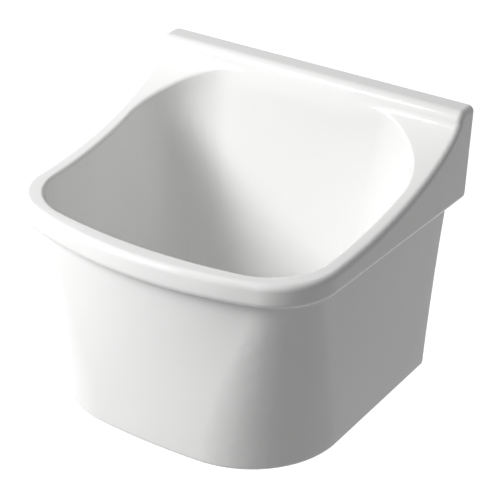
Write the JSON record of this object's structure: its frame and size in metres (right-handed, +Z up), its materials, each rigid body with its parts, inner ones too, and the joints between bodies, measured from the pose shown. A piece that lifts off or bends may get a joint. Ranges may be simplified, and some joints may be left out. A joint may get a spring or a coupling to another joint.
{
  "type": "laundry sink",
  "caption": "Wall-hung glazed ceramic laundry sink with a deep bowed bowl, rolled rim, raised back with ledge, and a lift-out basket waste in the floor.",
  "frame": {"origin": "on the wall face, midway between the two wall bolt holes", "axes": "+Z up, +Y into the wall, +X to the right of someone who stands in front of the sink"},
  "size_m": [0.4992, 0.47, 0.496],
  "materials": {
    "basin": "glossy white glaze",
    "strainer_cup": "polished stainless sheet",
    "flange_seal": "pale soft seal",
    "lower_gasket": "black rubber",
    "outlet_body": "white moulded polypropylene",
    "tail_pipe": "white moulded polypropylene",
    "thread_insert": "plain brass",
    "clamp_screw": "turned stainless",
    "strainer_basket": "polished stainless sheet",
    "basket_knob": "bright plated",
    "stopper_seal": "black rubber",
    "stem_clip": "pale acetal"
  },
  "bodies": {
    "sink": {"basin": "basin", "strainer_cup": "strainer_cup", "flange_seal": "flange_seal", "lower_gasket": "lower_gasket", "outlet_body": "outlet_body", "tail_pipe": "tail_pipe", "thread_insert": "thread_insert", "clamp_screw": "clamp_screw"},
    "basket": {"strainer_basket": "strainer_basket", "basket_knob": "basket_knob", "stopper_seal": "stopper_seal", "stem_clip": "stem_clip"}
  },
  "joints": [
    {"name": "basket_lift", "type": "slide", "parent": "sink", "child": "basket", "axis": [0, 0, 1], "range_m": [0, 0.36]}
  ]
}
